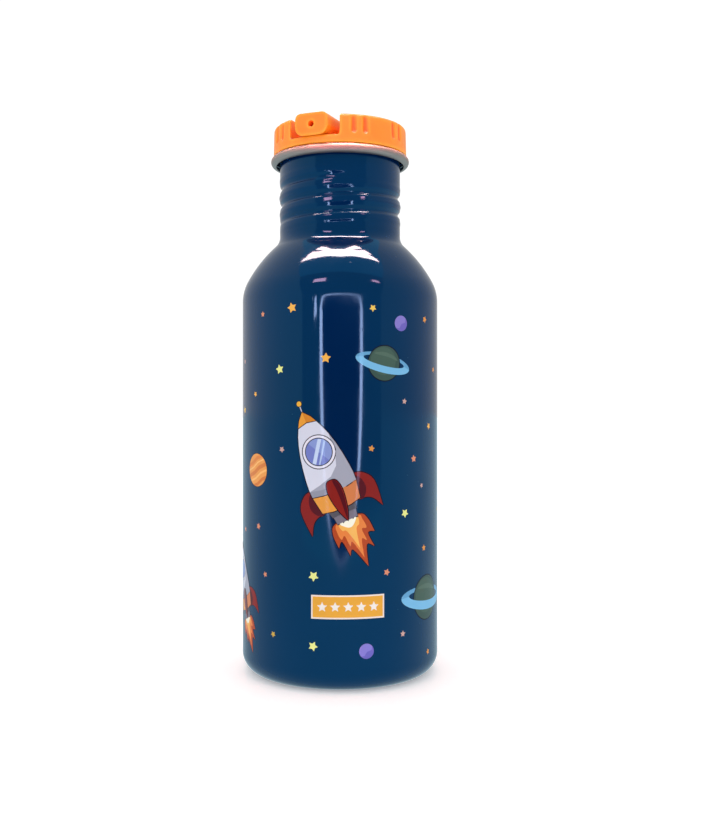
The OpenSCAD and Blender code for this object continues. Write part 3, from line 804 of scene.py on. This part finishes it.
def block(low, high):
    """A box between two corners in mm, as stock or as a cutter."""
    bpy.ops.mesh.primitive_cube_add(size=1)
    piece = bpy.context.object
    for corner in piece.data.vertices:
        corner.co = [(high[i] if corner.co[i] > 0 else low[i]) * mm for i in range(3)]
    return piece


def bar_across(r, half, y, z):
    """A round bar along X, in mm."""
    bpy.ops.mesh.primitive_cylinder_add(vertices=96, radius=r * mm, depth=2 * half * mm,
                                        location=(0, y * mm, z * mm), rotation=(0, math.pi / 2, 0))
    return applied(bpy.context.object)


def applied(piece):
    """Puts the object's own place, turn and size into its mesh."""
    bpy.ops.object.select_all(action="DESELECT")
    piece.select_set(True)
    bpy.context.view_layer.objects.active = piece
    bpy.ops.object.transform_apply(location=True, rotation=True, scale=True)
    return piece


def combine(piece, other, operation):
    """Joins another solid to a piece, or cuts it out of the piece, and deletes the other."""
    applied(piece)
    step = piece.modifiers.new("shape", "BOOLEAN")
    step.operation = operation
    step.solver = "EXACT"
    step.object = other
    bpy.ops.object.modifier_apply(modifier="shape")
    bpy.data.objects.remove(other)


def soften(piece, cell, rounds):
    """Gives a solid the soft edges of a moulding: an even fine mesh, smoothed a little."""
    applied(piece)
    even = piece.modifiers.new("even", "REMESH")
    even.mode = "VOXEL"
    even.voxel_size = cell * mm
    bpy.ops.object.modifier_apply(modifier="even")
    soft = piece.modifiers.new("soft", "SMOOTH")
    soft.factor = 0.5
    soft.iterations = rounds
    bpy.ops.object.modifier_apply(modifier="soft")
    bpy.ops.object.shade_smooth()


def mark_relief(piece, rounds, reach):
    """Notes on each corner of the mesh how far it stands out (near 1) or lies in a hollow (near 0)."""
    mesh = piece.data
    bulge = [0.0] * len(mesh.vertices)
    count = [0] * len(mesh.vertices)
    for edge in mesh.edges:
        a, b = edge.vertices
        step = mesh.vertices[b].co - mesh.vertices[a].co
        length = step.length
        if length == 0:
            continue
        bend = (mesh.vertices[b].normal - mesh.vertices[a].normal).dot(step) / length ** 2 * mm
        for v in (a, b):
            bulge[v] += bend
            count[v] += 1
    bulge = [b / max(1, n) for b, n in zip(bulge, count)]
    pairs = [tuple(edge.vertices) for edge in mesh.edges]
    for _ in range(rounds):
        spread = list(bulge)
        for a, b in pairs:
            spread[a] += bulge[b]
            spread[b] += bulge[a]
        bulge = [s / (1 + n) for s, n in zip(spread, count)]
    relief = mesh.attributes.new("relief", "FLOAT", "POINT")
    relief.data.foreach_set("value", [min(1, max(0, 0.5 + b * reach)) for b in bulge])


cap = lathe("cap", [
    (skirt_r, cap_bottom), (cap_r, cap_bottom),
    *arc((cap_r - draft - top_edge_r, cap_top - top_edge_r), top_edge_r, 0, 90, 10),
    (0, cap_top), (0, cap_top - deck_t), (skirt_r, cap_top - deck_t),
])
front_half = notch_half + trough_wall
front_stock = lathe("front_stock", [
    (0, inner_low), (inner_r, inner_low), (inner_r, inner_top), (0, inner_top)])
combine(front_stock, block((-front_half, -cap_r - 1, 0), (front_half, trough_front + trough_wall, over)),
        "INTERSECT")
combine(cap, front_stock, "UNION")
combine(cap, block((-cheek_half, trough_front, inner_low),
                   (cheek_half, trough_back + trough_wall, inner_top)), "UNION")
combine(cap, block((-notch_half, -cap_r - 2, floor_z), (notch_half, trough_front, over)), "DIFFERENCE")
combine(cap, block((-trough_half, trough_front - 1, floor_z), (trough_half, trough_back, over)),
        "DIFFERENCE")
combine(cap, bar_across(bearing_r, bearing_half, hub_y, hub_z), "DIFFERENCE")
for pair in range(1, groove_pairs + 1):
    for side in (-pair_half, pair_half):
        groove = lathe("groove", [*arc((0, groove_foot + groove_r), groove_r, -90, 0, 8),
                                  (groove_r, over), (0, over)], 32)
        groove.location.y = -(cap_r + groove_r - groove_depth - draft / 2) * mm
        applied(groove).rotation_euler.z = math.radians(pair_step * pair + side)
        combine(cap, applied(groove), "DIFFERENCE")
soften(cap, cell=0.3, rounds=4)
# The relief marks drive the orange's painted shade in hollows and painted highlight on edges.
mark_relief(cap, rounds=8, reach=0.9)
cap.rotation_euler.z = math.radians(cap_turned)
applied(cap)

# Relief colours: deep red-orange as painted shade in the hollows, light orange as painted highlight on the
# edges; the hollows also glow faintly.
orange = moulding("moulded_orange", linear(255, 138, 18), roughness=0.4, grain=0.5,
                  glow_depth=1.2, glow_colour=(1, 0.45, 0.12),
                  relief=(linear(254, 96, 12), linear(255, 156, 30)))
cap.data.materials.append(orange)
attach(cap, "cap")
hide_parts("cap_shell")


# ---- Spout ----
# The drinking spout, moulded in the same orange: a rounded bar with a hub and two stub axles that
# snap into the cap's bearings. It lies folded in the trough, its tip and drink hole in the notch.

spout_half = 6
spout_h = 7.2
spout_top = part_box("spout")[1][2] / mm
spout_floor = spout_top - spout_h
low_corner = 3
top_corner = 2
tip_y = -(cap_r + 1)
lip_y = -(cap_r + 0.25)
lip_drop = 0.5
channel_r = 1.5
drink_hole_r = 0.85
drink_hole_z = hub_z + 0.4
mouth_r = drink_hole_r + 0.55
mouth_depth = 0.8
hollow_half = 3.8
hollow_depth = 1.1


def spout_bar(name, low, start, end):
    """The spout's rounded section, extruded from one place along Y to another."""
    section = (arc((-spout_half + low_corner, low + low_corner), low_corner, 180, 270, 10)
               + arc((spout_half - low_corner, low + low_corner), low_corner, 270, 360, 10)
               + arc((spout_half - top_corner, spout_top - top_corner), top_corner, 0, 90, 8)
               + arc((-spout_half + top_corner, spout_top - top_corner), top_corner, 90, 180, 8))
    bpy.ops.mesh.primitive_circle_add(vertices=len(section), radius=1, fill_type="NGON")
    piece = bpy.context.object
    piece.name = name
    for corner, (x, z) in zip(piece.data.vertices, section):
        corner.co = (x * mm, start * mm, z * mm)
    bpy.ops.object.mode_set(mode="EDIT")
    bpy.ops.mesh.select_all(action="SELECT")
    bpy.ops.mesh.extrude_region_move(TRANSFORM_OT_translate={"value": (0, (end - start) * mm, 0)})
    bpy.ops.mesh.select_all(action="SELECT")
    bpy.ops.mesh.normals_make_consistent(inside=False)
    bpy.ops.object.mode_set(mode="OBJECT")
    return piece


def bar_along(r_front, r_back, start, end, z):
    """A round or tapered bar along Y, in mm, to cut the channel and the drink hole."""
    bpy.ops.mesh.primitive_cone_add(vertices=64, radius1=r_back * mm, radius2=r_front * mm,
                                    depth=(end - start) * mm, rotation=(math.pi / 2, 0, 0),
                                    location=(0, (start + end) / 2 * mm, z * mm))
    return applied(bpy.context.object)


spout = spout_bar("drinking_spout", spout_floor, tip_y, hub_y)
combine(spout, spout_bar("lip", spout_floor - lip_drop, tip_y, lip_y), "UNION")
combine(spout, bar_across(hub_r, spout_half, hub_y, hub_z), "UNION")
combine(spout, bar_across(axle_r, spout_half + 2.2, hub_y, hub_z), "UNION")
combine(spout, bar_along(channel_r, channel_r, tip_y + 2, hub_y + hub_r + 1, hub_z), "DIFFERENCE")
combine(spout, bar_along(drink_hole_r, drink_hole_r, tip_y - 1, tip_y + 3, drink_hole_z), "DIFFERENCE")
combine(spout, bar_along(mouth_r, drink_hole_r, tip_y - 0.01, tip_y + mouth_depth, drink_hole_z),
        "DIFFERENCE")
combine(spout, block((-hollow_half, lip_y + 3.5, spout_floor - 1),
                     (hollow_half, hub_y - hub_r - 3, spout_floor + hollow_depth)), "DIFFERENCE")
soften(spout, cell=0.2, rounds=6)
# The relief marks drive the orange's painted shade in hollows and painted highlight on edges.
mark_relief(spout, rounds=10, reach=0.9)
spout.rotation_euler.z = math.radians(cap_turned)
applied(spout)
spout.data.materials.append(orange)
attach(spout, "spout")
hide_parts("spout")


# ---- Screw plug ----
# The threaded tube that reaches into the neck, moulded in the same orange with its disc and
# bosses, and snapped into the cap shell. Its shape is the frame's own.

plug_orange = moulding("plug_orange", linear(252, 132, 44), roughness=0.42, grain=0.6,
                       glow_depth=1.2, glow_colour=(1, 0.45, 0.12))
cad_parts["screw_plug"].data.materials.clear()
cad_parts["screw_plug"].data.materials.append(plug_orange)


# ---- Seal, vent valve and straw connector ----
# Three small silicone parts pressed into the plug: the saddle under the spout's hub, the umbrella
# valve that lets air in, and the sleeve that grips the straw.

for name in ("spout_seal", "vent_valve", "straw_connector"):
    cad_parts[name].data.materials.clear()
    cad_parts[name].data.materials.append(silicone)


# ---- Straw ----
# An extruded tube of clear, slightly milky polypropylene, cut at a slant at its foot so it can't
# suck itself shut on the base, and pushed into the silicone sleeve.

straw_clear = moulding("milky_straw", linear(226, 236, 240), roughness=0.22, grain=0.3,
                       glow_depth=1.0, glow_colour=(0.9, 1, 1))
surface = straw_clear.node_tree.nodes["Principled BSDF"]
surface.inputs["Subsurface Weight"].default_value = 0
surface.inputs["Transmission Weight"].default_value = 0.7
surface.inputs["IOR"].default_value = 1.49
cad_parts["straw"].data.materials.clear()
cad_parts["straw"].data.materials.append(straw_clear)


# ---- Room ----
# A bright white table in a white room, with a grey wall and ceiling piece in front of the bottle,
# a light frame on it and a long lamp overhead. The gloss lacquer mirrors them.

table_half = 6
table_sink = 0.02 * mm
bpy.ops.mesh.primitive_circle_add(vertices=4, radius=1, fill_type="NGON")
floor = bpy.context.object
floor.name = "floor"
for corner, (x, y) in zip(floor.data.vertices, ((-1, -1), (1, -1), (1, 1), (-1, 1))):
    corner.co = (x * table_half, y * table_half, -table_sink)
floor_paint, tree, surface = shader("white_table")
surface.inputs["Base Color"].default_value = (0.9, 0.9, 0.9, 1)
surface.inputs["Roughness"].default_value = 0.6
surface.inputs["Emission Color"].default_value = (1, 1, 1, 1)
surface.inputs["Emission Strength"].default_value = 0.28
mirrored = add_node(tree, "Emission", Color=(0.7, 0.92, 1, 1), Strength=0.75)
in_gloss = tree.nodes.new("ShaderNodeMixShader")
tree.links.new(tree.nodes.new("ShaderNodeLightPath").outputs["Is Glossy Ray"], in_gloss.inputs["Fac"])
tree.links.new(surface.outputs["BSDF"], in_gloss.inputs[1])
tree.links.new(mirrored.outputs["Emission"], in_gloss.inputs[2])
see_through = tree.nodes.new("ShaderNodeMixShader")
tree.links.new(tree.nodes.new("ShaderNodeNewGeometry").outputs["Backfacing"], see_through.inputs["Fac"])
tree.links.new(in_gloss.outputs["Shader"], see_through.inputs[1])
tree.links.new(tree.nodes.new("ShaderNodeBsdfTransparent").outputs["BSDF"], see_through.inputs[2])
tree.links.new(see_through.outputs["Shader"], tree.nodes["Material Output"].inputs["Surface"])
floor.data.materials.append(floor_paint)


def glow(name, colour, low, high, fade_low=0, fade_high=1):
    """A shining card, of one strength at a low height and another at a high one, in mm."""
    made = bpy.data.materials.new(name)
    made.use_nodes = True
    tree = made.node_tree
    lamp = add_node(tree, "Emission", Color=colour)
    split = tree.nodes.new("ShaderNodeSeparateXYZ")
    tree.links.new(tree.nodes.new("ShaderNodeTexCoord").outputs["Object"], split.inputs["Vector"])
    strength = add_range(tree, split.outputs["Z"], fade_low * mm, fade_high * mm, low, high)
    strength.node.interpolation_type = "SMOOTHSTEP"
    tree.links.new(strength, lamp.inputs["Strength"])
    tree.links.new(lamp.outputs["Emission"], tree.nodes["Material Output"].inputs["Surface"])
    return made


def mirrored_card(name, corners, finish):
    """A flat card with its corners in mm, seen in gloss only: it casts no light and no shadow."""
    bpy.ops.mesh.primitive_circle_add(vertices=len(corners), radius=1, fill_type="NGON")
    card = bpy.context.object
    card.name = name
    for corner, place in zip(card.data.vertices, corners):
        corner.co = [d * mm for d in place]
    card.data.materials.append(finish)
    card.visible_camera = False
    card.visible_diffuse = False
    card.visible_shadow = False
    card.visible_transmission = False
    return card


card_y = -300
wall_left = -269
wall_right = 308
bend_z = 180
ceiling_left = -470
ceiling_right = 520
ceiling_z = 680
mirrored_card("grey_wall", [
    (wall_left, card_y, 0), (wall_right, card_y, 0), (wall_right, card_y, bend_z),
    (ceiling_right, card_y, ceiling_z), (ceiling_left, card_y, ceiling_z), (wall_left, card_y, bend_z),
], glow("wall_grey", (0.55, 0.92, 1, 1), 0.9, 0.42, 0, 60))
ceiling = [(ceiling_left, card_y), (ceiling_right, card_y), (355, -26), (305, 50), (280, 90), (265, 320),
           (-250, 320), (-262, 90), (-285, 50), (-330, -26)]
mirrored_card("grey_ceiling", [(x, y, ceiling_z) for x, y in ceiling],
              glow("ceiling_grey", (0.4, 0.9, 1.2, 1), 0.75, 0.75))

frame_path = flowing([
    (-119, 148), (-115, 155), (-98, 160.6), (-60, 163.6), (8, 164.6), (78, 163.6), (114, 160.6), (131, 155),
    (135, 148), (134, 110), (127, 78), (112, 50), (86, 26), (52, 8), (15, 1), (-18, 3), (-58, 18),
    (-92, 46), (-110, 78), (-118, 112)], 4)
mirrored_card("dark_opening", [(x, card_y + 1, z) for x, z in frame_path],
              glow("opening_dark", (0.5, 0.8, 1, 1), 0.12, 0, 0, 50))
tube = glow("tube_lavender", (1, 0.3, 0.36, 1), 8, 33, 0, 70)
tube_y = card_y + 2
tube_wide = 18
tube_thin = 2.6
for i, (a, b) in enumerate(zip(frame_path, frame_path[1:] + frame_path[:1])):
    inside = []
    for k, (x, z) in ((i + 1, b), (i, a)):
        ahead = frame_path[(k + 1) % len(frame_path)]
        behind = frame_path[k - 1]
        along = Vector((ahead[0] - behind[0], ahead[1] - behind[1])).normalized()
        inside.append((x + along.y * tube_wide, tube_y, z - along.x * tube_thin))
    mirrored_card("light_frame", [(a[0], tube_y, a[1]), (b[0], tube_y, b[1]), *inside], tube)
rosy = glow("window_rosy", (1, 0.15, 0.17, 1), 44, 44)
window_y = card_y + 3
for left, right, low, high, shade in ((-160, -138, 148, 163, tube), (-176, -166, 159, 163, tube),
                                      (-195, -95, 345, 425, rosy), (255, 345, 390, 450, rosy)):
    mirrored_card("window", [(left, window_y, low), (right, window_y, low + 2),
                             (right - 4, window_y, high), (left + 6, window_y, high - 3)], shade)

lamp_z = 650
lamp_white = glow("lamp_white", (1, 0.36, 0.3, 1), 80, 80)
lamp_outlines = [
    [(-305, -26), (-175, -76), (0, -116), (175, -76), (305, -26), (280, -16), (150, -20), (0, -36),
     (-150, -20), (-280, -16)],
    [(-250, -2), (-110, -72), (-60, -70), (-190, 6)],
    [(-170, 22), (-70, -50), (-40, -44), (-120, 26)],
    [(90, -70), (230, 4), (170, 12), (60, -64)],
    [(60, -40), (150, 24), (100, 28), (30, -36)],
    [(-190, 212), (-62, 122), (-62, 260), (-190, 260)],
    [(62, 122), (190, 212), (190, 260), (62, 260)],
]
for outline in lamp_outlines:
    mirrored_card("long_lamp", [(x, y, lamp_z) for x, y in outline], lamp_white)

world = bpy.data.worlds.new("white_room")
world.use_nodes = True
tree = world.node_tree
backdrop = tree.nodes["Background"]
backdrop.inputs["Color"].default_value = (1, 1, 1, 1)
ray = tree.nodes.new("ShaderNodeLightPath")
split = tree.nodes.new("ShaderNodeSeparateXYZ")
tree.links.new(tree.nodes.new("ShaderNodeTexCoord").outputs["Generated"], split.inputs["Vector"])
mirrored_room = add_range(tree, split.outputs["X"], -1, 1, 0.72, 0.54)
choose = add_node(tree, "Mix", A=1.06)
tree.links.new(ray.outputs["Is Glossy Ray"], choose.inputs["Factor"])
tree.links.new(mirrored_room, choose.inputs["B"])
tree.links.new(choose.outputs["Result"], backdrop.inputs["Strength"])
bpy.context.scene.world = world
bpy.context.scene.view_settings.view_transform = "Standard"
